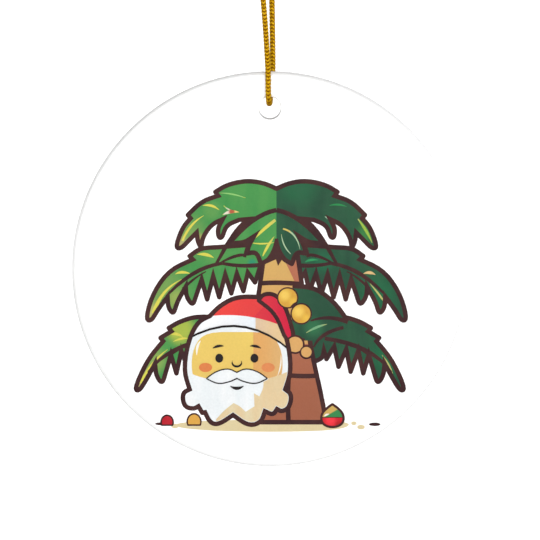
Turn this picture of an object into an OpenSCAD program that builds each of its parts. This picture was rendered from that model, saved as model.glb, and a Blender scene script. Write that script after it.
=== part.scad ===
// Round ceramic hanging ornament with a printed scene, on a loop of braided metallic cord.
// Millimetres, +Z up. The origin is the inside top of the cord loop, where a hook carries it.
// The printed face looks along -Y.

/* [Disc] */
// Diameter of the ceramic disc
disc_d = 72; // [50:1:100]
// Thickness of the ceramic disc, gloss coats included
disc_t = 3; // [2.4:0.1:5]
// Rounding of the rim's two edges
edge_r = 0.8; // [0.3:0.1:1.1]
// Diameter of the hanging hole
hole_d = 3.9; // [3.4:0.1:6]
// Rounding of the hanging hole's two edges
hole_edge = 0.3; // [0.2:0.1:1]
// Ceramic left between the rim and the hanging hole
hole_margin = 4.6; // [3:0.1:8]
// Thickness of the gloss coat, set into each face
coat_t = 0.05; // [0.03:0.01:0.1]

/* [Cord] */
// Diameter of the braided cord
cord_d = 1; // [0.6:0.05:1.1]
// Gap between the cord and the disc's faces
cord_gap = 0.12; // [0.08:0.01:0.4]
// Height of the loop's inside top above the top of the hanging hole
hang_drop = 55; // [48:1:75]
// Width between the two runs of cord at the loop's top, centre to centre
loop_w = 3.8; // [3.8:0.1:8]
// Diameter of the overhand knot
knot_d = 3; // [2.4:0.1:4]
// Height of the overhand knot
knot_h = 2.7; // [2.2:0.1:4]

/* [Print] */
// Thickness of one printed layer of ink
ink_t = 0.03; // [0.02:0.01:0.06]
// Width of the printed outlines
line_w = 0.85; // [0.5:0.05:1.2]
// Diameter that the printed scene is drawn for; it is scaled with the disc
art_d = 72; // [60:1:90]

/* [Hidden] */
$fn = 48;

cord_r = cord_d / 2;
disc_r = disc_d / 2;
hole_r = hole_d / 2;
hole_top_z = -hang_drop;
hole_z = hole_top_z - hole_r;
disc_z = hole_top_z + hole_margin - disc_r;
disc_x = 2;
leg_y = disc_t / 2 + cord_gap + cord_r;
bend_r = 2 * cord_d;
leg_top = hole_top_z + 10;
crown_z = -4;
arch_z = cord_r - loop_w / 2;
art_k = disc_d / art_d;
hw = line_w / 2;

// ---------- curves ----------
function each_corner(P) = [for (p = P) each (len(p) > 2 ? [[p.x, p.y], [p.x, p.y]] : [p])];
// closed outline through the middles of a control polygon; a third number makes a corner
function blob(Q, n = 4) = let (P = each_corner(Q), m = len(P)) [
    for (i = [0 : m - 1])
        let (b = P[i], s = (P[(i + m - 1) % m] + b) / 2, e = (b + P[(i + 1) % m]) / 2)
        for (k = [0 : n - 1]) let (t = k / n)
            if (norm(s - e) > 0.001) (1 - t) * (1 - t) * s + 2 * t * (1 - t) * b + t * t * e];
function bez2(a, b, c, n = 8) = [for (k = [0 : n]) let (t = k / n)
    (1 - t) * (1 - t) * a + 2 * t * (1 - t) * b + t * t * c];
function bez3(a, b, c, d, n) = [for (k = [0 : n]) let (t = k / n, u = 1 - t)
    u * u * u * a + 3 * u * u * t * b + 3 * u * t * t * c + t * t * t * d];
function unit2(v) = v / max(norm(v), 0.0001);
function side2(P, i) = let (v = unit2(P[min(i + 1, len(P) - 1)] - P[max(i - 1, 0)])) [-v.y, v.x];
// a brush stroke along a curve, w wide at its start, w2 at its end, swelling by s between
module stroke(a, b, c, w, w2 = -1, s = 0, n = 8) {
    P = bez2(a, b, c, n);
    e = w2 < 0 ? w : w2;
    function half(i) = ((1 - i / n) * w + i / n * e + s * sin(180 * i / n)) / 2;
    polygon(concat([for (i = [0 : n]) P[i] + half(i) * side2(P, i)],
        [for (i = [n : -1 : 0]) P[i] - half(i) * side2(P, i)]));
}
module flip(x = 0) { children(); translate([2 * x, 0]) mirror([1, 0]) children(); }
module inset(d = hw) offset(delta = -d) children();
module grow(d = hw) offset(r = d, $fn = 16) children();

// one printed film; layer 1 lies on the gloss coat
module film(layer) translate([disc_x, 0, disc_z]) rotate([90, 0, 0])
    translate([0, 0, disc_t / 2 + (layer - 1) * ink_t]) linear_extrude(ink_t)
        scale([art_k, art_k]) children();

// ---------- the printed scene, around the disc's centre: X right, Y up ----------
axis_x = 1.2;

module crown_side() polygon(blob([[1.2, 14.7, 1], [-1, 15.7], [-4, 16.2], [-7.6, 15.5],
    [-9.9, 14.1, 1], [-9.4, 13.4, 1], [-12.4, 12.4], [-14.9, 9.9, 1], [-14.4, 9.3, 1],
    [-15.9, 7.6], [-17.2, 4], [-16.2, 3.7], [-14.7, 5.3], [-13.3, 6.7, 1], [-13.1, 5],
    [-12.5, 3.9, 1], [-12.2, 5.9], [-10.6, 8.2], [-8.6, 9.1, 1], [-9.5, 7.4], [-9.3, 5.7],
    [-8.6, 5.8], [-8, 8], [-5.6, 9, 1], [1.2, 9.6, 1]]));
module apex_side() polygon(blob([[1.2, 11, 1], [-2.2, 10.4], [-5.6, 7.8], [-7.8, 4.4, 1],
    [-6.4, 4.8], [-4.6, 4.9], [-2.9, 6, 1], [-3.9, 4.2], [-4.1, 2.9, 1], [-2.4, 3.2],
    [-1.6, 1, 1], [0.2, 2], [1.2, 4.4, 1]]));
module middle_side() polygon(blob([[0, 4.6, 1], [-5, 4.4], [-9.6, 4], [-12.6, 3.9],
    [-14.6, 2.4, 1], [-14, 1.8, 1], [-18.4, -0.2], [-21.4, -4.6], [-22.6, -9.1], [-21.6, -9.5],
    [-20.4, -7.4], [-18.6, -5, 1], [-18.5, -7], [-17.5, -8.3], [-16.9, -6], [-15.3, -3.2, 1],
    [-15.2, -5], [-14, -6.7], [-13.4, -4.8], [-12.4, -1.9, 1], [-11.4, -5.5, 1],
    [-10.3, -1.3, 1], [-9.2, -5.1, 1], [-8.1, -1, 1], [-7, -4.4, 1], [-6, -0.8, 1],
    [-4.8, -4, 1], [-4, -0.6, 1], [-2.7, -2.4, 1], [-1.6, 1, 1]]));
module lower_side() polygon(blob([[-4, -9.4, 1], [-12.6, -8.4], [-16.2, -9.4], [-18.4, -10.7, 1],
    [-17.9, -11.3, 1], [-19.9, -12.5, 1], [-19.4, -13.1, 1], [-22.2, -16.4], [-24.7, -21.8],
    [-23.8, -22.3], [-22.4, -20], [-20.9, -17.2, 1], [-20.7, -19.4], [-19.6, -21],
    [-19, -19], [-18, -15.6, 1], [-17, -19, 1], [-16.1, -14.9, 1], [-14.7, -18.7, 1],
    [-13.9, -14.6, 1], [-12.5, -17.8, 1], [-11.7, -14.1, 1], [-10.3, -16.4, 1], [-9.2, -12.8, 1],
    [-4, -12, 1]]));
module inner_lower() polygon(blob([[3, -3, 1], [8.2, -3.2], [12, -6.2], [14.4, -9.8, 1],
    [12, -12.4], [9.9, -14.6, 1], [9.6, -16.2], [8.2, -16.8, 1], [6, -13, 1], [3, -13.4, 1]]));
module trunk() polygon(blob([[-1, 3, 1], [-1.8, -3], [-3.2, -12], [-3.6, -27.9, 1],
    [10.2, -27.9, 1], [9.5, -23.4], [7.4, -14.4], [6, -4], [5, 3, 1]]));
module head() polygon(blob([[-2.2, -5], [-6.2, -5], [-9.2, -6.7], [-10.9, -8.5, 1],
    [-13.2, -9.6], [-14.9, -13.2], [-15.7, -18.4], [-14.6, -21.9, 1], [-16, -22.6],
    [-15.6, -25.1], [-13.9, -25.5], [-13, -25, 1], [-12.3, -26.2, 1], [-11.8, -26.1, 1],
    [-10.9, -28], [-9.4, -28.4], [-6.7, -26.6, 1], [-3.9, -28.6], [-1.6, -28], [-0.9, -25.9, 1],
    [0.6, -26.6], [1.3, -25.5, 1], [2.2, -26], [3.6, -25.2], [4, -22.8], [2.8, -21.9, 1],
    [3.9, -18.6], [3.4, -13.6], [2, -9.4], [0.6, -5.4]]));
module cap_tail() polygon(blob([[-2, -5.7, 1], [-1.2, -4.5], [1, -4.5], [2.8, -6.8], [3.8, -10],
    [4.4, -12.4], [3.4, -13.2, 1], [2.6, -12, 1], [1, -8]]));
module ball(x, y, r, k = 1) translate([x, y]) scale([1, k]) circle(r, $fn = 36);
module onion() polygon(blob([[11.4, -24.7, 1], [12.4, -25.4], [13.4, -26.5], [13.3, -28.2],
    [11.4, -28.9], [9.5, -28.2], [9.4, -26.5], [10.4, -25.4]]));
module dome(x, y, r) intersection() {
    ball(x, y, r, 1.15);
    translate([x - 2 * r, y - 0.5 * r]) square([4 * r, 4 * r]);
}

module fronds_back() { flip(axis_x) middle_side(); flip() lower_side(); inner_lower(); }
module fronds_front() { flip(axis_x) crown_side(); flip(axis_x) apex_side(); }
module baubles() { ball(3.25, -5.2, 1.85); ball(5.7, -8.1, 1.85); }
module tan_balls() { ball(4.6, -13.7, 1.55); ball(6.65, -15.1, 1.1); }
module pebbles() { dome(-18.7, -27.9, 1.1); dome(-13.8, -27.8, 1.25); }

// the leaf lines inside the two upper tiers
module leaf_lines() {
    flip(axis_x) {
        stroke([1.2, 10.8], [-3.2, 10], [-7.8, 4.2], 0.85, 0.85);
        stroke([-7.8, 4.2], [-4.6, 4.4], [-2.4, 6.4], 0.7, 0.4);
        stroke([-2.9, 6.1], [-4.2, 4.4], [-4.6, 2.2], 0.7, 0.6);
        stroke([-8, 4.2], [-8.8, 2.6], [-10, 0.6], 0.8, 0.5);
        stroke([-19.6, -5.8], [-14.4, 0.4], [-8.6, 1.1], 0.3, 0.6, 0.3);
        stroke([-8.6, 1.1], [-5.6, 0.4], [-1.8, 0.8], 0.6, 0.8, 0);
        stroke([-9, 1.2], [-6, 2.8], [-4.6, 2.6], 0.3, 0.5, 0.2);
        stroke([-15.8, -3.6], [-13.8, -1.5], [-11.6, -0.4], 0.6, 0.2);
        stroke([1.2, 5.6], [0.8, 2.4], [-1.4, 0.9], 0.6, 0.8);
    }
    flip() {
        stroke([-22.2, -18.8], [-18.6, -13.8], [-10, -12.6], 0.3, 0.7, 0.3);
        stroke([-18.4, -15.8], [-16.8, -14.6], [-14.6, -13.8], 0.6, 0.2);
    }
    stroke([7.4, -9.4], [10.6, -8.2], [14.2, -9.6], 0.3, 0.8, 0.1);
    stroke([8, -14.2], [9, -11.6], [13.4, -10.6], 0.3, 0.6, 0.2);
}
module under_apex() polygon([[0.2, 4], [1.2, 7], [2.2, 4], [3.6, 1], [2.2, 1.8], [1.5, 0.6],
    [1.1, 1.8], [-1.2, 0.8]]);

// everything in front of a piece is cut out of it with its outline
module front_of_tree() { trunk(); }
module figure_edge() { grow(hw) { head(); cap_tail(); } small_edge(); }
module small_edge() { grow(0.12) baubles(); grow(0.2) tan_balls(); }

module light_half() translate([axis_x - 60, -60]) square([60, 120]);
module dark_half() translate([axis_x, -60]) square([60, 120]);
module front_leaves() difference() {
    inset() { fronds_front(); }
    leaf_lines();
}
module back_leaves() difference() {
    inset(hw) fronds_back();
    grow(hw) fronds_front();
    difference() { grow(hw) trunk(); translate([4, -13]) square([20, 9.6]); }
    figure_edge();
    leaf_lines();
}
module leaves() { front_leaves(); back_leaves(); }

module streaks() {
    stroke([-9, 13.9], [-6.8, 13.9], [-4.4, 13], 0.05, 0.05, 0.22);
    stroke([-12.2, 11.6], [-10.6, 12], [-9.2, 10.8], 0.05, 0.05, 0.4);
    stroke([-15.9, 5.2], [-14.6, 8.4], [-12, 9.8], 0.35, 0.05, 0.2);
    stroke([1, 9], [-1.4, 7.2], [-3.4, 5], 0.5, 0.05, 0.25);
    stroke([-3.2, 4.8], [-1.4, 4.5], [0.8, 4.9], 0.1, 0.05, 0.2);
    stroke([-1.3, 2.4], [-0.5, 4.2], [0.8, 6], 0.15, 0.05, 0.4);
    stroke([-13.2, 2.7], [-11.6, 3], [-10.2, 2.1], 0.05, 0.05, 0.55);
    stroke([-17.2, -0.9], [-16.2, -0.2], [-14.4, -0.8], 0.05, 0.05, 0.45);
    stroke([-21.2, -8], [-19.8, -3.6], [-16, -1.8], 0.7, 0.05, 0.1);
    stroke([-23.5, -20.8], [-21.6, -16.8], [-18.6, -14.6], 0.55, 0.05, 0.15);
    stroke([-18.6, -11.9], [-17, -11.4], [-15.8, -12.4], 0.05, 0.05, 0.5);
    stroke([-17.6, -13.2], [-16, -12.4], [-14.8, -12.6], 0.05, 0.05, 0.35);
    stroke([18.6, 4.8], [17.6, 7.2], [16, 9.2], 0.05, 0.15, 0.4);
    stroke([10.8, 11.6], [12.4, 12.1], [14, 11.4], 0.05, 0.05, 0.3);
    stroke([2.4, 7.4], [4.9, 6.8], [5.5, 3.6], 0.3, 0.05, 0.1);
    stroke([2.1, 6.4], [2.3, 4.2], [3.8, 2.8], 0.05, 0.1, 0.15);
    stroke([6.4, 1.3], [7.2, 1.9], [8.8, 1.7], 0.05, 0.05, 0.4);
    stroke([-8.4, 11.6], [-7.6, 10.8], [-6.4, 10.6], 0.05, 0.05, 0.2);
    stroke([-8.6, 9.9], [-7.2, 10.8], [-5.6, 10.4], 0.05, 0.05, 0.55);
    stroke([10, 9.6], [10.8, 9.3], [11.8, 8.9], 0.05, 0.05, 0.5);
    stroke([17, -0.8], [18.2, -0.3], [19.2, -1], 0.05, 0.05, 0.5);
    stroke([18.2, -2.6], [20, -4.6], [21.4, -6.8], 0.05, 0.05, 0.3);
    stroke([6.6, -11.6], [8.4, -10.4], [10.4, -10], 0.05, 0.05, 0.4);
    stroke([20.4, -15.6], [21.6, -17.2], [22.4, -19], 0.05, 0.05, 0.3);
}
module glints() {
    stroke([-13.3, -15.6], [-13.4, -14], [-12.6, -13], 0.1, 0.1, 0.35);
    stroke([1.4, -19.4], [2.2, -17.6], [2, -15.6], 0.05, 0.05, 0.2);
    stroke([9.9, -26.8], [10.2, -26.5], [10.8, -26.4], 0.1, 0.1, 0.25);
}
module trunk_lines() {
    stroke([-2.4, -2.6], [2, -2.2], [6.4, -2.8], line_w);
    stroke([3, -19.3], [6, -19.6], [8.6, -19.4], line_w);
    stroke([3.4, -20], [3.2, -24], [3.4, -28], line_w);
}
module trunk_fill() difference() {
    inset() trunk();
    grow(hw) fronds_front();
    under_apex();
    figure_edge();
    difference() { grow(hw) inner_lower(); translate([-4, -40]) square([8.1, 80]); 
        translate([-10, -60]) square([40, 47]); }
    trunk_lines();
    grow(0.3) onion();
}
module trunk_facets() {
    polygon([[2.4, 3], [6.6, 3], [6.6, -3], [4.6, -2.4], [3, 1]]);
    translate([3, -40]) square([10, 26.4]);
    translate([-6, -40]) square([12, 15]);
}

// the figure: cap, fur band, face, beard
module below(a, b, c) polygon(concat(bez2(a, b, c, 12), [[c.x, -60], [a.x, -60]]));
module cap_zone() difference() { head(); below([-20, -11], [-6, -5.1], [6, -12.2]); }
module band_zone() difference() {
    intersection() { head(); below([-20, -11], [-6, -5.1], [6, -12.2]); }
    below([-20, -16.3], [-6, -4], [6, -17]);
}
module band_line() difference() {
    below([-20, -16.1], [-6, -3.8], [6, -16.8]);
    below([-20, -16.5], [-6, -4.2], [6, -17.2]);
}
module beard() polygon(blob([[-16.6, -18, 1], [-13.6, -19.4], [-10.4, -20.2], [-6, -19.2],
    [-1.6, -20.2], [1.6, -19.4], [4.8, -18, 1], [6, -30, 1], [-18, -30, 1]]));
module moustache() flip(-6) polygon(blob([[-6, -18.9, 1], [-7.6, -18.1], [-9.8, -18.7],
    [-11.4, -19.9, 1], [-9.4, -20.9], [-7.2, -20.4], [-6, -19.8, 1]]));
module face() polygon(blob([[-6, -11.4], [-12, -11.5], [-14.1, -14.6], [-14.3, -19],
    [-13, -21.8], [-6, -22], [1, -21.8], [2.4, -19], [2.2, -14.6], [0.2, -11.5]]));
module hair() intersection() { head(); below([-20, -16.3], [-6, -4], [6, -17]); }
module figure_fill() difference() {
    inset() head();
    grow(hw * 0.9) cap_tail();
    grow(0.12) baubles();
}
module tail_fill() difference() { inset(0.35) cap_tail(); small_edge(); }
module right_side(x = -3) translate([x, -60]) square([40, 80]);
module face_lines() {
    flip(-6) ball(-9.2, -16.2, 0.72, 1.12);
    flip(-6) stroke([-10.4, -14.4], [-9.4, -13.8], [-8.4, -14], 0.1, 0.1, 0.4);
    stroke([-7.2, -21.3], [-6, -22.1], [-4.8, -21.3], 0.1, 0.1, 0.5);
    difference() { grow(0.2) moustache(); inset(0.02) moustache(); }
    intersection() { inset(0.3) head(); band_line(); }
    difference() { ball(-6, -17.1, 0.95, 0.85); ball(-6, -16.85, 0.8, 0.85); }
}

// ---------- the cord's route, from the top of the loop and back to it ----------
rim_z = hole_top_z + hole_margin;
function front_x(z) = 1.7 - (z > rim_z ? 0.06 * (z - rim_z) : 0);
function rear_x(z) = 2.55 - (z > rim_z ? 0.01 : 0.09) * abs(z - rim_z);
front_end = [front_x(leg_top), -leg_y, leg_top];
rear_end = [rear_x(leg_top), leg_y, leg_top];
crown_route = concat(
    [[loop_w / 2, 0, crown_z]],
    [for (a = [0 : 22.5 : 180]) [loop_w / 2 * cos(a), 0, arch_z + loop_w / 2 * sin(a)]],
    [[-loop_w / 2, 0, crown_z]]);
front_route = bez3([-loop_w / 2, 0, crown_z], [-1.7, -0.2, crown_z - 11],
    [0.75, -leg_y, leg_top + 11], front_end, 17);
rear_route = bez3([loop_w / 2, 0, crown_z], [1.9, 0.2, crown_z - 11],
    [2.35, leg_y, leg_top + 11], rear_end, 17);
turn_z = hole_top_z + 0.72;
bight_route = concat(
    [for (k = [0 : 3]) let (z = leg_top + (turn_z - leg_top) * k / 4) [front_x(z), -leg_y, z]],
    [for (a = [0 : 18 : 90]) [1.7 + 0.2 * a / 90, -leg_y + bend_r * (1 - cos(a)),
        turn_z - bend_r * sin(a)]],
    [for (a = [90 : -18 : 0]) [2.2 - 0.28 * a / 90, leg_y - bend_r * (1 - cos(a)),
        turn_z - bend_r * sin(a)]],
    [for (k = [3 : -1 : 0]) let (z = leg_top + (turn_z - leg_top) * k / 4) [rear_x(z), leg_y, z]]);
tail_route = [[-0.4, 0, 2], [-0.8, 0, 3.2], [-1.7, -0.1, 4.3], [-2.9, -0.2, 4.9],
    [-4.2, -0.3, 4.9], [-5.4, -0.4, 4.3], [-6.2, -0.5, 3.3]];

function unit(v) = v / norm(v);
function along(P, i) = unit(P[min(i + 1, len(P) - 1)] - P[max(i - 1, 0)]);
// a tube of 8 sides through the points P; its first and last rings face d0 and d1
module tube(P, r, d0 = undef, d1 = undef) {
    n = len(P);
    function dir(i) = i == 0 && d0 != undef ? unit(d0)
        : i == n - 1 && d1 != undef ? unit(d1) : along(P, i);
    function ring(i) = let (t = dir(i),
        u = unit(cross(abs(t.y) > 0.9 ? [1, 0, 0] : [0, 1, 0], t)), v = cross(t, u))
        [for (k = [0 : 7]) P[i] + r * (cos(45 * k + 22.5) * u + sin(45 * k + 22.5) * v)];
    polyhedron([for (i = [0 : n - 1]) each ring(i)],
        concat([[for (k = [7 : -1 : 0]) k]],
            [for (i = [0 : n - 2]) for (k = [0 : 7])
                each [[8 * i + k, 8 * i + (k + 1) % 8, 8 * i + 8 + k],
                    [8 * i + (k + 1) % 8, 8 * i + 8 + (k + 1) % 8, 8 * i + 8 + k]]],
            [[for (k = [0 : 7]) 8 * (n - 1) + k]]));
}

// ---------- the disc ----------
module at_disc() translate([disc_x, 0, disc_z]) rotate([90, 0, 0]) children();
module hole_cut(extra = 0) translate([0, disc_r - hole_margin - hole_r, 0]) rotate_extrude($fn = 64)
    polygon(concat([[0, -disc_t], [hole_r + hole_edge, -disc_t]],
        [for (a = [0 : 15 : 90]) [hole_r + hole_edge * (1 - sin(a)),
            -disc_t / 2 + hole_edge * (1 - cos(a))]],
        [for (a = [90 : -15 : 0]) [hole_r + hole_edge * (1 - sin(a)),
            disc_t / 2 - hole_edge * (1 - cos(a))]],
        [[hole_r + hole_edge, disc_t], [0, disc_t]]));
flat_r = disc_r - edge_r;
module ceramic_disc() color("white") at_disc() difference() {
    rotate_extrude($fn = 180) polygon(concat([[0, -disc_t / 2]],
        [for (a = [0 : 15 : 90]) [flat_r + edge_r * sin(a), -disc_t / 2 + edge_r * (1 - cos(a))]],
        [for (a = [90 : -15 : 0]) [flat_r + edge_r * sin(a), disc_t / 2 - edge_r * (1 - cos(a))]],
        [[0, disc_t / 2]]));
    hole_cut();
    for (s = [-1, 1]) coat_film(s);
}
module coat_film(s) translate([0, 0, s > 0 ? disc_t / 2 - coat_t : -disc_t / 2])
    linear_extrude(coat_t) difference() {
        circle(flat_r, $fn = 180);
        translate([0, disc_r - hole_margin - hole_r]) circle(hole_r + hole_edge, $fn = 64);
    }
module gloss_coat_front() color("white") at_disc() coat_film(1);
module gloss_coat_back() color("white") at_disc() coat_film(-1);

// ---------- printed films ----------
module print_outline() color([0.27, 0.12, 0.14]) film(1) {
    grow(hw) { fronds_back(); fronds_front(); trunk(); }
    figure_edge();
    grow(0.3) onion();
    grow(0.15) pebbles();
    under_apex();
    ball(-20, -28.2, 0.85, 0.3);
    ball(19.1, -28.3, 1.05, 0.3);
}
module print_frond_light() color([0.3, 0.6, 0.3]) film(2) intersection() { leaves(); light_half(); }
module print_frond_dark() color([0.15, 0.36, 0.25]) film(2) intersection() { leaves(); dark_half(); }
module print_frond_streaks() color([0.85, 0.8, 0.35]) film(3) intersection() {
    leaves();
    streaks();
}
module print_trunk_light() color([0.85, 0.67, 0.38]) film(2) trunk_fill();
module print_trunk_shade() color([0.65, 0.4, 0.28]) film(3) intersection() {
    trunk_fill();
    trunk_facets();
}
module print_cap() color([0.94, 0.28, 0.25]) film(2) {
    intersection() { figure_fill(); cap_zone(); }
    tail_fill();
}
module print_cap_shade() color([0.85, 0.15, 0.25]) film(3) {
    intersection() {
        figure_fill();
        cap_zone();
        polygon([[-3.6, -9.4], [0, -5.6], [0.6, -4], [6, -4], [6, -14], [-3.6, -14]]);
    }
    tail_fill();
}
module print_fur_band() color([0.96, 0.98, 0.99]) film(2) intersection() {
    figure_fill();
    band_zone();
}
module print_fur_shade() color([0.91, 0.81, 0.64]) film(3) intersection() {
    figure_fill();
    band_zone();
    right_side(-2.6);
}
module print_beard() color([0.95, 0.97, 0.98]) film(2) intersection() {
    figure_fill();
    hair();
}
module skin() intersection() { difference() { face(); beard(); moustache(); } hair(); }
module print_face() color([0.93, 0.81, 0.42]) film(3) skin();
module print_face_shade() color([0.89, 0.67, 0.39]) film(4) intersection() {
    skin();
    right_side();
}
module print_beard_shade() color([0.91, 0.82, 0.64]) film(3) difference() {
    intersection() {
        inset(0.5) head();
        beard();
        polygon(blob([[-1.8, -18, 1], [-0.9, -21], [-1.9, -23.2, 1], [-2.9, -22.6, 1],
            [-2.8, -25, 1], [-4.4, -26, 1], [-5.4, -25], [-6.6, -24.4, 1], [-8.4, -25.8],
            [-9.8, -27.4, 1], [-9.6, -29, 1], [0, -29.4, 1], [6, -26, 1], [6, -18, 1]]));
    }
    grow(0.3) moustache();
}
module print_cheeks() color([0.93, 0.55, 0.32]) film(5) difference() {
    flip(-6) ball(-11.7, -17.9, 1.2, 0.7);
    grow(0.3) beard();
    grow(0.25) moustache();
}
module print_face_lines() color([0.13, 0.08, 0.1]) film(6) face_lines();
module print_glints() color([1, 0.98, 0.92]) film(5) intersection() {
    glints();
    union() { skin(); inset(0.2) baubles(); inset(0.2) onion(); }
}
module print_gold_baubles() color([0.94, 0.76, 0.31]) film(2) inset(0.15) {
    difference() { ball(3.25, -5.2, 1.85); grow(0.35) ball(5.7, -8.1, 1.85); }
    ball(5.7, -8.1, 1.85);
}
module print_tan_balls() color([0.87, 0.7, 0.42]) film(2) {
    difference() { ball(4.6, -13.7, 1.4); grow(hw) head(); ball(6.65, -15.1, 1.2); }
    ball(6.65, -15.1, 0.95);
    inset(0.15) dome(-13.8, -27.8, 1.25);
}
module print_red_bauble() color([0.83, 0.1, 0.15]) film(2) {
    inset(0.15) dome(-18.7, -27.9, 1.1);
    intersection() { inset(0.15) onion(); translate([9, -30]) square([5, 2.9]); }
}
module print_bauble_top() color([0.35, 0.62, 0.35]) film(2) intersection() {
    inset(0.15) onion();
    translate([9, -26.95]) square([5, 3]);
}
module print_sand() color([0.89, 0.82, 0.6]) film(1) difference() {
    union() {
        polygon(blob([[-18, -28.2], [-12, -27.6], [0, -27.4], [12, -27.6], [15, -28.2],
            [13, -29.3], [4, -29.7], [-8, -29.6], [-16, -29.1]]));
        ball(-17.3, -28.6, 0.7, 0.6);
        ball(16.6, -28.8, 0.7, 0.6);
        ball(15.3, -28.1, 0.5, 0.7);
    }
    grow(hw) trunk();
    figure_edge();
    grow(0.3) onion();
    grow(0.15) pebbles();
}

// ---------- cord ----------
module loop_crown() color("goldenrod") tube(crown_route, cord_r, [0, 0, 1], [0, 0, -1]);
module cord_run_front() color("goldenrod") tube(front_route, cord_r, [0, 0, -1], [0, 0, -1]);
module cord_run_rear() color("goldenrod") tube(rear_route, cord_r, [0, 0, -1], [0, 0, -1]);
module cord_bight() color("goldenrod") tube(bight_route, cord_r, [0, 0, -1], [0, 0, 1]);
module overhand_knot() color("darkgoldenrod") translate([0, 0, knot_h / 2 - 0.05])
    rotate_extrude($fn = 32) polygon([for (a = [-90 : 15 : 90])
        [knot_d / 2 * pow(cos(a), 0.6), knot_h / 2 * sin(a)]]);
module cord_tail_left() color("goldenrod") tube(tail_route, cord_r, [0, 0, 1]);
module cord_tail_right() color("goldenrod") mirror([1, 0, 0]) tube(tail_route, cord_r, [0, 0, 1]);
module tip() translate(tail_route[6]) rotate([0, -141, 0]) translate([0, 0, -0])
    rotate_extrude($fn = 24) polygon([[0, 0], [0.62, 0], [0.66, 0.35], [0.55, 0.75], [0.3, 1], [0, 1.05]]);
module sealed_tip_left() color("peru") tip();
module sealed_tip_right() color("peru") mirror([1, 0, 0]) tip();

ceramic_disc();
gloss_coat_front();
gloss_coat_back();
print_outline();
print_frond_light();
print_frond_dark();
print_frond_streaks();
print_trunk_light();
print_trunk_shade();
print_cap();
print_cap_shade();
print_fur_band();
print_fur_shade();
print_face();
print_face_shade();
print_cheeks();
print_face_lines();
print_glints();
print_beard();
print_beard_shade();
print_gold_baubles();
print_tan_balls();
print_red_bauble();
print_bauble_top();
print_sand();
loop_crown();
cord_run_front();
cord_run_rear();
cord_bight();
overhand_knot();
cord_tail_left();
cord_tail_right();
sealed_tip_left();
sealed_tip_right();
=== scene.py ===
"""The looks of a round printed ceramic ornament on a loop of gold braided cord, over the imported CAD."""

import math

import bpy
import numpy as np
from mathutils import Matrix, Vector


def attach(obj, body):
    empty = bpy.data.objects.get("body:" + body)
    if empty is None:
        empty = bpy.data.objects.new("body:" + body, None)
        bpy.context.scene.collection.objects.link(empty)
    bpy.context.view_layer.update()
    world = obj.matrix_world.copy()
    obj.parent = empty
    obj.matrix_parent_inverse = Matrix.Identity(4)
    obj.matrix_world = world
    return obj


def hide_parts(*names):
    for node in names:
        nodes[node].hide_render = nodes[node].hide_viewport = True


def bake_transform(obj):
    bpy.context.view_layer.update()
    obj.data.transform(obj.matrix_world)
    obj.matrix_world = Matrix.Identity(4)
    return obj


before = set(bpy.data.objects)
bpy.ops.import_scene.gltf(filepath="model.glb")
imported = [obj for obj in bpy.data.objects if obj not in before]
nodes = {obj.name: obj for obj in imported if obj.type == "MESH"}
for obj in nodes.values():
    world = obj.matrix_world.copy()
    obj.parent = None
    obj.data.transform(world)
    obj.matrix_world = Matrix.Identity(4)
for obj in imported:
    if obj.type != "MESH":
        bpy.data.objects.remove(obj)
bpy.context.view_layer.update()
scene = bpy.context.scene

# Sizes from part.scad, in metres.
CORD_D = 0.001
DISC_T = 0.003
HOLE_TOP, HOLE_R = -0.055, 0.00195
HOLE_EDGE = 0.0003  # rounding of the hole's edges
DISC_X, DISC_Z = 0.002, -0.0864  # the disc's centre
RIM_Z = HOLE_TOP + 0.0046  # top of the disc's rim
LEG_Y = DISC_T / 2 + 0.00012 + CORD_D / 2  # the cord's middle, beside the disc's faces
LEG_TOP = HOLE_TOP + 0.010  # where the runs stop being straight
FRONT_X, REAR_X = 0.0017, 0.00255  # the two runs at the rim
TURN_Z = HOLE_TOP + 0.00072  # where the cord starts to turn into the hole
BEND_R = 2 * CORD_D
LOOP_W = 0.0038
CROWN_Z = -0.004  # where the loop's top arch meets the runs
ARCH_Z = CORD_D / 2 - LOOP_W / 2

# ---------- camera ----------
AIM = Vector((DISC_X + 0.00003, 0, DISC_Z - 0.00023))
EL, FAR = math.radians(4), 1.5  # a little above straight on
VIEW_W = 0.0983
cam = bpy.data.objects.new("camera", bpy.data.cameras.new("camera"))
scene.collection.objects.link(cam)
cam.location = AIM + FAR * Vector((0, -math.cos(EL), math.sin(EL)))
cam.rotation_euler = (math.pi / 2 - EL, 0, 0)
cam.data.sensor_width = 36
cam.data.lens = 36 * FAR / VIEW_W
cam.data.clip_start, cam.data.clip_end = 0.01, 20
scene.camera = cam
scene.view_settings.view_transform = "Standard"
scene.view_settings.look = "None"
scene.view_settings.exposure = 0
scene.view_settings.gamma = 1


# ---------- node helpers ----------
def linear(rgb):
    """sRGB numbers of 0 to 255 as linear colour."""
    return [*(((c / 255 + 0.055) / 1.055) ** 2.4 if c > 10.3 else c / 3294.6 for c in rgb), 1.0]


def grey(v):
    return v, v, v, 1


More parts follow.
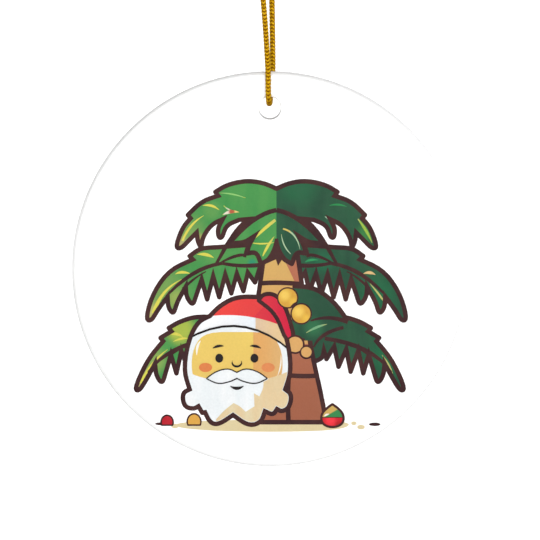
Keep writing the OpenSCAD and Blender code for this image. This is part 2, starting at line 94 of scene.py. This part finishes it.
class Shader:
    """A material with short ways to add nodes."""

    def __init__(self, name):
        self.mat = bpy.data.materials.new(name)
        self.mat.use_nodes = True
        self.tree = self.mat.node_tree
        self.bsdf = self.tree.nodes["Principled BSDF"]
        self.coord = self.add("ShaderNodeTexCoord").outputs["Object"]

    def add(self, kind, inputs=None, **settings):
        n = self.tree.nodes.new(kind)
        for k, v in settings.items():
            setattr(n, k, v)
        for k, v in (inputs or {}).items():
            if isinstance(v, bpy.types.NodeSocket):
                self.tree.links.new(v, n.inputs[k])
            else:
                n.inputs[k].default_value = v
        return n

    def set(self, **inputs):
        for k, v in inputs.items():
            k = k.replace("_", " ")
            if isinstance(v, bpy.types.NodeSocket):
                self.tree.links.new(v, self.bsdf.inputs[k])
            else:
                self.bsdf.inputs[k].default_value = v

    def noise(self, scale, detail=2.0, stretch=(1, 1, 1)):
        m = self.add("ShaderNodeMapping", {"Vector": self.coord, "Scale": stretch})
        return self.add("ShaderNodeTexNoise", {"Vector": m.outputs[0], "Scale": scale,
                                               "Detail": detail}).outputs["Fac"]

    def span(self, value, start, end, low=0.0, high=1.0, **settings):
        """low where value is start, high where it is end."""
        return self.add("ShaderNodeMapRange", {"Value": value, "From Min": start, "From Max": end,
                                               "To Min": low, "To Max": high}, **settings).outputs[0]

    def axis(self, direction, start, end):
        """0 at start metres along direction in the part's frame, 1 at end."""
        d = self.add("ShaderNodeVectorMath", {0: self.coord, 1: direction}, operation="DOT_PRODUCT")
        return self.span(d.outputs["Value"], start, end, interpolation_type="SMOOTHSTEP")

    def near(self, x, z, inner, outer):
        """1 within inner metres of a point of the print, 0 beyond outer."""
        p = self.add("ShaderNodeVectorMath", {0: self.coord, 1: (DISC_X + x, -DISC_T / 2, DISC_Z + z)},
                     operation="DISTANCE")
        return self.span(p.outputs["Value"], inner, outer, 1.0, 0.0, interpolation_type="SMOOTHSTEP")

    def calc(self, op, a, b):
        return self.add("ShaderNodeMath", {0: a, 1: b}, operation=op).outputs[0]

    def ramp(self, fac, *stops):
        n = self.add("ShaderNodeValToRGB", {"Fac": fac})
        e = n.color_ramp.elements
        while len(e) < len(stops):
            e.new(0.5)
        for el, (at, col) in zip(e, stops):
            el.position, el.color = at, col
        return n.outputs["Color"]

    def mix(self, fac, a, b, kind="MIX"):
        n = self.add("ShaderNodeMix", data_type="RGBA", blend_type=kind)
        for i, v in ((0, fac), (6, a), (7, b)):
            if isinstance(v, bpy.types.NodeSocket):
                self.tree.links.new(v, n.inputs[i])
            else:
                n.inputs[i].default_value = v
        return n.outputs[2]

    def bump(self, height, strength, distance):
        return self.add("ShaderNodeBump", {"Height": height, "Strength": strength,
                                           "Distance": distance}).outputs["Normal"]


# ---------- materials ----------
LIGHT = 1.2  # how much brighter than its own colour a matt face square to the camera comes out
SHEEN = 0.012  # what the print's gloss adds to it


def ink(rgb):
    """The linear colour of an ink that shows as rgb in this light."""
    return [*(max(c - SHEEN, 0.002) / LIGHT for c in linear(rgb)[:3]), 1.0]


def white_glaze(name, mottle):
    """Fired white glaze: nearly even white, a faint orange-peel surface, and painted shade that turns it grey
    low in the hole.
    """
    s = Shader(name)
    tone = s.ramp(s.noise(220, 3), (0.3, (0.86, 0.86, 0.855, 1)), (0.7, (0.9, 0.9, 0.898, 1)))
    tone = s.mix(mottle, grey(0.9), tone)
    flat = s.add("ShaderNodeVectorMath", {0: s.coord, 1: (1, 0, 1)}, operation="MULTIPLY").outputs[0]
    # Painted shade: the glaze colour goes grey on the lower wall of the hole, where shade falls.
    off = s.add("ShaderNodeVectorMath", {0: flat, 1: (DISC_X, 0, HOLE_TOP - HOLE_R)}, operation="DISTANCE")
    painted_hole_shade = s.span(off.outputs["Value"], HOLE_R + 0.00022, HOLE_R + HOLE_EDGE, 1.0, 0.0)
    painted_hole_shade = s.calc("MULTIPLY", painted_hole_shade, s.axis((0, 0, -1), HOLE_R - HOLE_TOP, 1.9 * HOLE_R - HOLE_TOP))
    s.set(Base_Color=s.mix(painted_hole_shade, tone, grey(0.38)), Roughness=s.ramp(
        s.noise(900, 2), (0.35, grey(0.1)), (0.65, grey(0.16))),
        Coat_Weight=0.5, Coat_Roughness=0.06, IOR=1.5)
    s.set(Normal=s.bump(s.noise(450, 2), 0.06, 0.00002))
    return s.mat


def print_ink(name, colour):
    """Dye print under the gloss: colour is a function of the shader that gives its colour, and a fine
    two-scale mottle lies over it, as ink has on a coated blank."""
    s = Shader(name)
    grain = s.ramp(s.noise(2600, 2), (0.3, grey(0.97)), (0.7, grey(1.03)))
    cloud = s.ramp(s.noise(160, 3), (0.3, grey(0.98)), (0.7, grey(1.02)))
    c = s.mix(1.0, colour(s), grain, "MULTIPLY")
    s.set(Base_Color=s.mix(1.0, c, cloud, "MULTIPLY"), Roughness=s.ramp(
        s.noise(900, 2), (0.3, grey(0.3)), (0.7, grey(0.4))),
        Specular_IOR_Level=0.12)
    s.set(Normal=s.bump(s.noise(1400, 2), 0.05, 0.00002))
    return s.mat


def two(fac, a, b):
    """Colour function: ink a where fac is 0, ink b where it is 1."""
    return lambda s: s.mix(fac(s), ink(a), ink(b))


def streaky(s, low=0.4, high=0.62, scale=300):
    """Long thin marks along the fronds."""
    return s.ramp(s.noise(scale, 3, (1, 1, 0.25)), (low, grey(0)), (high, grey(1)))


def patches(s, colour, *spots):
    """Soft patches of other inks over a colour; each spot is x, z, inner and outer radius in mm, and
    its ink."""
    for x, z, inner, outer, rgb in spots:
        colour = s.mix(s.near(x / 1000, z / 1000, inner / 1000, outer / 1000), colour, ink(rgb))
    return colour


def light_frond(s):
    body = s.mix(streaky(s), ink((68, 148, 76)), ink((80, 155, 80)))
    return patches(s, body,
                   (-16, 6, 1.5, 6, (124, 166, 88)), (-16.6, 4.4, 0.5, 2.6, (186, 178, 118)),
                   (-12.7, 5.2, 0.3, 1.8, (190, 172, 108)), (-10.6, 10.6, 0.5, 2.5, (96, 158, 82)),
                   (-3.2, 1.1, 0.3, 1.2, (48, 146, 108)),
                   (-20, -4.6, 2, 7, (118, 162, 84)), (-21.8, -8.2, 0.5, 3.4, (192, 188, 116)),
                   (-17, -5.4, 0.5, 2.5, (150, 174, 88)), (-10, 2.8, 0.5, 3.5, (92, 160, 82)),
                   (-16.4, -11, 1.2, 3.8, (172, 190, 76)), (-19.4, -14, 0.5, 2.6, (82, 158, 80)),
                   (-21.2, -16.6, 0.8, 3.4, (140, 172, 88)), (-23.4, -20.4, 0.8, 3.8, (184, 172, 112)))


def dark_frond(s):
    body = s.mix(streaky(s, 0.42, 0.6, 240), ink((38, 80, 58)), ink((44, 92, 64)))
    return patches(s, body,
                   (5, 15.4, 1.5, 5.5, (38, 100, 66)), (17.4, 6.4, 0.3, 2.6, (60, 128, 66)),
                   (9.6, 1.4, 0.5, 3, (34, 104, 70)), (19.6, -4.6, 1, 5, (32, 102, 66)),
                   (22, -15.8, 1, 5, (30, 106, 68)), (8, -10.6, 0.5, 2.5, (50, 112, 74)))


def streak(s):
    body = s.mix(s.axis((1, 0, 0), DISC_X - 0.001, DISC_X + 0.003), ink((222, 214, 88)), ink((188, 190, 112)))
    return patches(s, body,
                   (-6.8, 13.6, 1.6, 2.6, (148, 206, 118)), (-7.4, 11.1, 0.6, 1, (150, 200, 116)),
                   (-7.8, 10.4, 0.5, 1, (236, 226, 204)), (-6.9, 10.5, 0.3, 0.8, (186, 96, 66)),
                   (-6, 10.6, 0.2, 0.6, (240, 208, 128)),
                   (12.4, 11.9, 1.9, 2.6, (44, 142, 78)), (10.9, 9.3, 1.1, 1.6, (150, 184, 152)),
                   (4.6, 5.2, 2.4, 3, (176, 204, 164)), (3, 7, 0.3, 1.2, (214, 190, 96)),
                   (7.4, 1.6, 1.6, 2.2, (48, 152, 92)), (17.6, 7.2, 1.6, 2.8, (156, 188, 72)),
                   (18.2, -0.7, 0.9, 1.6, (226, 190, 130)), (8.4, -10.6, 0.6, 2.6, (120, 176, 130)))


def gold_ball(s):
    return patches(s, ink((220, 166, 66)),
                   (2.7, -4.7, 0.3, 1.6, (246, 206, 96)), (5.2, -7.7, 0.3, 1.6, (246, 206, 96)),
                   (4.2, -5.9, 0.2, 1.1, (238, 190, 76)), (6.6, -8.9, 0.2, 1.1, (236, 188, 74)))


def onion_top(s):
    """A gold half and a green half that meet on a slanting line."""
    across = (0.5, 0, -0.87)
    middle = across[0] * (DISC_X + 0.0114) + across[2] * (DISC_Z - 0.0261)
    return s.mix(s.axis(across, middle - 0.00012, middle + 0.00012), ink((210, 174, 98)), ink((58, 138, 78)))


def red_low(s):
    return patches(s, ink((206, 28, 42)), (11, -27.6, 0.3, 1.6, (248, 58, 70)),
                   (12.6, -28.4, 0.2, 1, (178, 22, 36)), (-18.7, -27.6, 0.8, 1.4, (190, 30, 46)))


mats = {
    "ceramic_disc": white_glaze("glaze_rim", 0.8),
    "gloss_coat_front": white_glaze("coat_front", 0.25),
    "gloss_coat_back": white_glaze("coat_back", 0.6),
    "print_outline": print_ink("ink_outline", two(
        lambda s: s.ramp(s.noise(260, 3), (0.4, grey(0)), (0.6, grey(1))),
        (60, 32, 34), (72, 40, 38))),
    "print_frond_light": print_ink("ink_frond_light", light_frond),
    "print_frond_dark": print_ink("ink_frond_dark", dark_frond),
    "print_frond_streaks": print_ink("ink_frond_streaks", streak),
    "print_trunk_light": print_ink("ink_trunk_light", two(
        lambda s: s.axis((0, 0, -1), 0.085, 0.094), (217, 174, 102), (214, 163, 98))),
    "print_trunk_shade": print_ink("ink_trunk_shade", two(
        lambda s: s.axis((0, 0, -1), 0.09, 0.112), (184, 112, 84), (164, 98, 72))),
    "print_cap": print_ink("ink_cap", two(
        lambda s: s.axis((1, 0, 0), -0.008, 0.0), (240, 72, 66), (232, 66, 66))),
    "print_cap_shade": print_ink("ink_cap_shade", two(
        lambda s: s.axis((1, 0, 0), -0.001, 0.006), (222, 56, 68), (212, 30, 66))),
    "print_fur_band": print_ink("ink_fur_band", two(
        lambda s: s.axis((1, 0, 0), -0.008, 0.0), (252, 253, 255), (238, 244, 250))),
    "print_fur_shade": print_ink("ink_fur_shade", two(
        lambda s: s.axis((1, 0, 0), -0.001, 0.004), (226, 196, 164), (231, 200, 152))),
    "print_face": print_ink("ink_face", two(
        lambda s: s.axis((0, 0, -1), 0.098, 0.107), (238, 205, 106), (236, 200, 106))),
    "print_face_shade": print_ink("ink_face_shade", two(
        lambda s: s.axis((1, 0, 0), 0.0, 0.0045), (228, 170, 101), (226, 180, 118))),
    "print_cheeks": print_ink("ink_cheeks", two(
        lambda s: s.axis((1, 0, 0), -0.006, 0.0), (226, 132, 76), (228, 142, 88))),
    "print_face_lines": print_ink("ink_face_lines", two(
        lambda s: s.noise(800, 2), (30, 22, 26), (42, 28, 30))),
    "print_glints": print_ink("ink_glints", two(
        lambda s: s.noise(700, 2), (255, 252, 240), (248, 244, 230))),
    "print_beard": print_ink("ink_beard", two(
        lambda s: s.ramp(s.noise(320, 3, (1, 1, 0.3)), (0.42, grey(0)), (0.62, grey(1))),
        (240, 245, 247), (249, 251, 252))),
    "print_beard_shade": print_ink("ink_beard_shade", two(
        lambda s: s.ramp(s.noise(320, 3, (1, 1, 0.3)), (0.4, grey(0)), (0.64, grey(1))),
        (230, 204, 160), (230, 216, 178))),
    "print_gold_baubles": print_ink("ink_gold", gold_ball),
    "print_tan_balls": print_ink("ink_tan", two(
        lambda s: s.axis((1, 0, 0), -0.009, 0.004), (226, 170, 76), (222, 170, 104))),
    "print_red_bauble": print_ink("ink_red", red_low),
    "print_bauble_top": print_ink("ink_bauble_top", onion_top),
    "print_sand": print_ink("ink_sand", two(
        lambda s: s.noise(500, 4), (222, 203, 156), (230, 214, 172))),
}
for name, mat in mats.items():
    o = nodes[name]
    o.data.materials.clear()
    o.data.materials.append(mat)


# ---------- cord ----------
def gold_yarn():
    """Metallised yarn: bright flat tape wound on a core, with painted shade along its sides and where it dips
    under.
    """
    s = Shader("gold_yarn")
    tone = s.ramp(s.noise(3000, 3), (0.3, linear((168, 122, 2))), (0.5, linear((194, 148, 6))),
                  (0.7, linear((218, 176, 34))))
    painted_shade = s.add("ShaderNodeAttribute", attribute_name="yarn_light").outputs["Fac"]
    # Painted shade: the yarn's colour is darkened along its sides and where it dips under the other hand.
    low = s.ramp(painted_shade, (0.1, linear((150, 110, 26))), (0.35, linear((216, 190, 106))), (0.8, grey(1)))
    s.set(Base_Color=s.mix(1.0, tone, low, "MULTIPLY"), Metallic=0.55, Roughness=0.5,
          Specular_IOR_Level=0.3, Specular_Tint=(1.0, 0.78, 0.3, 1))
    s.set(Normal=s.bump(s.noise(5200, 2), 0.35, 0.00003))
    return s.mat


def core_yarn():
    s = Shader("cord_core")
    # Painted shade: the core is coloured dark brown so that the gaps between the yarns show shaded.
    s.set(Base_Color=s.ramp(s.noise(2400, 2), (0.3, linear((88, 62, 6))), (0.7, linear((120, 86, 12)))),
          Roughness=0.8)
    return s.mat


YARN = gold_yarn()
CORE = core_yarn()


def bez(a, b, c, d, n):
    t = np.linspace(0, 1, n + 1)[:, None]
    u = 1 - t
    return u**3 * a + 3 * u * u * t * b + 3 * u * t * t * c + t**3 * d


def front_x(z):
    """Sideways place of the front run, which leans above the rim."""
    return FRONT_X - 0.06 * max(z - RIM_Z, 0)


def rear_x(z):
    """Sideways place of the rear run, which leans below the rim and hardly above it."""
    return REAR_X - (0.01 if z > RIM_Z else 0.09) * abs(z - RIM_Z)


def arr(*rows):
    return np.array(rows, float)


# The cord's route as in part.scad: the front run down, through the hole, the rear run up and over the top.
front_top = arr(front_x(LEG_TOP), -LEG_Y, LEG_TOP)
rear_top = arr(rear_x(LEG_TOP), LEG_Y, LEG_TOP)
front = bez(arr(-LOOP_W / 2, 0, CROWN_Z), arr(-0.0017, -0.0002, CROWN_Z - 0.011),
            arr(0.00075, -LEG_Y, LEG_TOP + 0.011), front_top, 60)
rear = bez(arr(LOOP_W / 2, 0, CROWN_Z), arr(0.0019, 0.0002, CROWN_Z - 0.011),
           arr(0.00235, LEG_Y, LEG_TOP + 0.011), rear_top, 60)
bight = [(front_x(z), -LEG_Y, z) for z in np.linspace(LEG_TOP, TURN_Z, 12)[1:-1]]
# Round each bend the cord also shifts a little sideways.
for a in np.radians(np.arange(0, 91, 9)):
    bight.append((FRONT_X + 0.0002 * a / (math.pi / 2), -LEG_Y + BEND_R * (1 - math.cos(a)),
                  TURN_Z - BEND_R * math.sin(a)))
for a in np.radians(np.arange(90, -1, -9)):
    bight.append((0.0022 - 0.00028 * a / (math.pi / 2), LEG_Y - BEND_R * (1 - math.cos(a)),
                  TURN_Z - BEND_R * math.sin(a)))
bight += [(rear_x(z), LEG_Y, z) for z in np.linspace(TURN_Z, LEG_TOP, 12)[1:-1]]
arch = [(LOOP_W / 2 * math.cos(a), 0, ARCH_Z + LOOP_W / 2 * math.sin(a))
        for a in np.radians(np.arange(0, 181, 7.5))]
loop = np.concatenate([front, arr(*bight), rear[::-1], arr(*arch), front[:1]])


def resample(points, step):
    """The same line with even steps, a little rounded where its stretches meet."""
    for _ in range(3):
        inner = (points[:-2] + 2 * points[1:-1] + points[2:]) / 4
        points = np.concatenate([points[:1], inner, points[-1:]])
    s = np.concatenate([[0], np.cumsum(np.linalg.norm(np.diff(points, axis=0), axis=1))])
    n = max(2, round(s[-1] / step))
    at = np.linspace(0, s[-1], n + 1)
    return np.stack([np.interp(at, s, points[:, k]) for k in range(3)], axis=1), at


def frames(points):
    """A tangent and two normals at each point, carried along with no needless turn."""
    t = np.gradient(points, axis=0)
    t /= np.linalg.norm(t, axis=1)[:, None]
    u = np.cross(t[0], [0, 1, 0])
    if np.linalg.norm(u) < 0.1:
        u = np.cross(t[0], [1, 0, 0])
    out = []
    for k in range(len(t)):
        u = u - t[k] * (u @ t[k])
        u /= np.linalg.norm(u)
        out.append(u.copy())
    u = np.array(out)
    return t, u, np.cross(t, u)


def mesh_object(name, verts, faces, materials, index=None, yarn_light=None):
    me = bpy.data.meshes.new(name)
    me.from_pydata([tuple(v) for v in verts], [], faces)
    for m in materials:
        me.materials.append(m)
    if index is not None:
        me.polygons.foreach_set("material_index", index)
    me.polygons.foreach_set("use_smooth", [True] * len(me.polygons))
    if yarn_light is not None:
        me.attributes.new("yarn_light", "FLOAT", "POINT").data.foreach_set("value", np.array(yarn_light, np.float32))
    me.update()
    o = bpy.data.objects.new(name, me)
    scene.collection.objects.link(o)
    return o


def sweep(verts, faces, rings):
    """Adds rings of points, each joined to the next and both ends closed, to a mesh being built."""
    base, m = len(verts), len(rings[0])
    for r in rings:
        verts.extend(r)
    for i in range(len(rings) - 1):
        for k in range(m):
            a, b = base + i * m + k, base + i * m + (k + 1) % m
            faces.append((a, b, b + m, a + m))
    faces.append(tuple(base + k for k in reversed(range(m))))
    faces.append(tuple(base + (len(rings) - 1) * m + k for k in range(m)))


LEAD = 0.00264  # one turn of a yarn along the cord, which puts a stitch every 0.66 mm in each column
CARRIERS = 4  # yarns of each hand
BRAID_R = CORD_D * 0.525
KNOT_R = CORD_D * 0.46  # the cord is squeezed where it is knotted
EDGE = [0.3, 0.85, 1, 0.85, 0.3, 0.1, 0.1, 0.1]  # light that reaches round a yarn, from its side over its top


def braid(name, points, at, lead, frame_of, radius=BRAID_R):
    """A round herringbone braid of flat yarns on a core coloured dark as painted shade for the gaps: in each
    quarter of the cord's girth the yarns of one hand lie on top. at is each point's distance along the whole
    cord, so that two stretches meet yarn for yarn."""
    _, u, v = frame_of
    verts, faces, yarn_light, index = [], [], [], []
    half_w, half_t = radius * 0.42, radius * 0.20
    r0, dip = radius * 0.74, radius * 0.13
    for hand in (1, -1):
        for k in range(CARRIERS):
            theta = hand * 2 * math.pi * at / lead + 2 * math.pi * k / CARRIERS
            g = np.clip(1.3 * np.sin(2 * theta), -1, 1) * hand  # 1 on top, -1 under the other hand
            rho = r0 + dip * g
            n = np.cos(theta)[:, None] * u + np.sin(theta)[:, None] * v
            centre = points + rho[:, None] * n
            run = np.gradient(centre, axis=0)
            run /= np.linalg.norm(run, axis=1)[:, None]
            side = np.cross(n, run)
            side /= np.linalg.norm(side, axis=1)[:, None]
            up = np.cross(run, side)
            rings = []
            for i in range(len(points)):
                ring = []
                for a in np.arange(len(EDGE)) * 2 * math.pi / len(EDGE):
                    w = half_w * math.copysign(abs(math.cos(a)) ** 0.7, math.cos(a))
                    ring.append(centre[i] + w * side[i] + half_t * math.sin(a) * up[i])
                rings.append(ring)
            before = len(faces)
            sweep(verts, faces, rings)
            index += [0] * (len(faces) - before)
            # Painted shade: a value per point, low where a yarn dips under and towards its sides, that
            # darkens the yarn's colour.
            yarn_light += [float(x * e) for x in g * 0.5 + 0.5 for e in EDGE]
    before = len(faces)
    core = [[points[i] + (r0 - dip) * 0.9 * (math.cos(a) * u[i] + math.sin(a) * v[i])
             for a in np.arange(8) * math.pi / 4] for i in range(0, len(points), 3)]
    sweep(verts, faces, core)
    index += [1] * (len(faces) - before)
    yarn_light += [0.0] * (len(core) * 8)
    return mesh_object(name, verts, faces, [YARN, CORE], index, yarn_light)


line, at = resample(loop, 0.00011)
turns = round(at[-1] / LEAD)
lead = at[-1] / turns
tan, nor, bin_ = frames(line)
# The loop closes on itself: what the frame has turned by is spread over the rear run's top and the arch, so
# that a seam of the herringbone faces forward on both runs lower down.
CALM_Z = -0.03  # below this the frame stays as carried
end_u = nor[0] - tan[-1] * (nor[0] @ tan[-1])
slip = math.atan2(end_u @ bin_[-1], end_u @ nor[-1])
calm = at[np.where(line[:, 2] < CALM_Z)[0][-1]]
phase = slip * np.clip((at - calm) / (at[-1] - calm), 0, 1)
cu, su = np.cos(phase)[:, None], np.sin(phase)[:, None]
nor, bin_ = cu * nor + su * bin_, cu * bin_ - su * nor
SEAM_Z = -0.0385
below = np.where(line[:, 2] < SEAM_Z)[0]
first, last = below[0], below[-1]
low = slice(first, last + 1)
cord_low = braid("cord_lower", line[low], at[low], lead, (tan[low], nor[low], bin_[low]))
order = np.concatenate([np.arange(last, len(line) - 1), np.arange(0, first + 1)])
up_at = np.concatenate([at[last:-1], at[:first + 1] + at[-1]])
cord_up = braid("cord_upper", line[order], up_at, lead, (tan[order], nor[order], bin_[order]))


def braided_line(name, points, radius=BRAID_R):
    p, along = resample(points, 0.00012)
    return braid(name, p, along, LEAD, frames(p), radius)


# tails: the route of part.scad, rounded
tail_route = arr((-0.4, 0, 1.4), (-0.4, 0, 2), (-0.8, 0, 3.2), (-1.7, -0.1, 4.3), (-2.9, -0.2, 4.9),
                 (-4.2, -0.3, 4.9), (-5.4, -0.4, 4.3), (-6.2, -0.5, 3.3)) / 1000


def rounded(points, n=8):
    """A smooth line through a few points."""
    p = np.concatenate([2 * points[:1] - points[1:2], points, 2 * points[-1:] - points[-2:-1]])
    out = []
    for a, b, c, d in zip(p[:-3], p[1:-2], p[2:-1], p[3:]):
        for t in np.arange(n) / n:
            out.append(0.5 * (2 * b + (c - a) * t + (2 * a - 5 * b + 4 * c - d) * t * t
                              + (3 * b - a - 3 * c + d) * t**3))
    out.append(points[-1])
    return np.array(out)


tail_l = braided_line("tail_left", rounded(tail_route))
tail_r = braided_line("tail_right", rounded(tail_route * [-1, 1, 1]))

# the overhand knot: the cord's own crossings, pulled tight over the top of the loop
turn = np.linspace(0, 2 * math.pi, 181)
knot_path = np.stack([(0.0011 + 0.00047 * np.cos(3 * turn)) * np.cos(2 * turn), 0.0006 * np.sin(3 * turn),
                      0.0013 + (0.0009 + 0.00042 * np.cos(3 * turn)) * np.sin(2 * turn)], axis=1)
knot = braided_line("knot", knot_path, KNOT_R)

tip_mat = Shader("melted_tip")
tip_mat.set(Base_Color=tip_mat.ramp(tip_mat.noise(1500, 3), (0.35, linear((96, 60, 14))),
                                    (0.65, linear((168, 116, 34)))),
            Roughness=0.3, Normal=tip_mat.bump(tip_mat.noise(2600, 2), 0.5, 0.0001))
for name in ("sealed_tip_left", "sealed_tip_right"):
    nodes[name].data.materials.clear()
    nodes[name].data.materials.append(tip_mat.mat)

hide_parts("cord_bight")
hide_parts("loop_crown", "cord_run_front", "cord_run_rear")
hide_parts("cord_tail_left")
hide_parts("cord_tail_right")
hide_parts("overhand_knot")
for o in (tail_l, tail_r, knot):
    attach(o, "loop_top")
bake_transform(cord_up)
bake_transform(cord_low)

# ---------- floor, world, light ----------
FLOOR_Z = -0.25
SKY_DARK = Vector((-0.22, -0.15, 0.97)).normalized()  # towards the sky's dark part, nearly overhead
SKY_SIDES, SKY_TOP = 1.31, 0.25
KEY_AT, KEY_SIZE, KEY_POWER = (0.16, -1.0, -0.4), 1.6, 23.0

bpy.ops.mesh.primitive_grid_add(x_subdivisions=12, y_subdivisions=12, size=1, location=(0, -0.3, FLOOR_Z))
floor = bpy.context.object
floor.name = "floor"
floor.scale = (3, 2.4, 1)
s = Shader("pale_floor")
s.set(Base_Color=s.ramp(s.noise(3, 3), (0.3, (0.83, 0.83, 0.82, 1)), (0.7, (0.87, 0.87, 0.86, 1))),
      Roughness=0.7, Emission_Color=grey(1), Emission_Strength=0.2)
floor.data.materials.append(s.mat)

# The sky is bright all round and darker overhead, so that edges that face up show against the white.
world = bpy.data.worlds.new("studio")
world.use_nodes = True
wt = world.node_tree
scene.world = world
co = wt.nodes.new("ShaderNodeTexCoord")
dot = wt.nodes.new("ShaderNodeVectorMath")
dot.operation = "DOT_PRODUCT"
dot.inputs[1].default_value = SKY_DARK
fade = wt.nodes.new("ShaderNodeMapRange")
fade.interpolation_type = "SMOOTHSTEP"
fade.inputs["From Min"].default_value, fade.inputs["From Max"].default_value = 0.0, 0.75
fade.inputs["To Min"].default_value, fade.inputs["To Max"].default_value = SKY_SIDES, SKY_TOP
wt.links.new(co.outputs["Generated"], dot.inputs[0])
wt.links.new(dot.outputs["Value"], fade.inputs["Value"])
wt.links.new(fade.outputs[0], wt.nodes["Background"].inputs["Strength"])
wt.nodes["Background"].inputs["Color"].default_value = grey(1)

lamp = bpy.data.lights.new("key", "AREA")
lamp.shape, lamp.size, lamp.energy = "DISK", KEY_SIZE, KEY_POWER
key = bpy.data.objects.new("key", lamp)
scene.collection.objects.link(key)
key.location = KEY_AT
key.rotation_euler = (AIM - key.location).to_track_quat("-Z", "Y").to_euler()
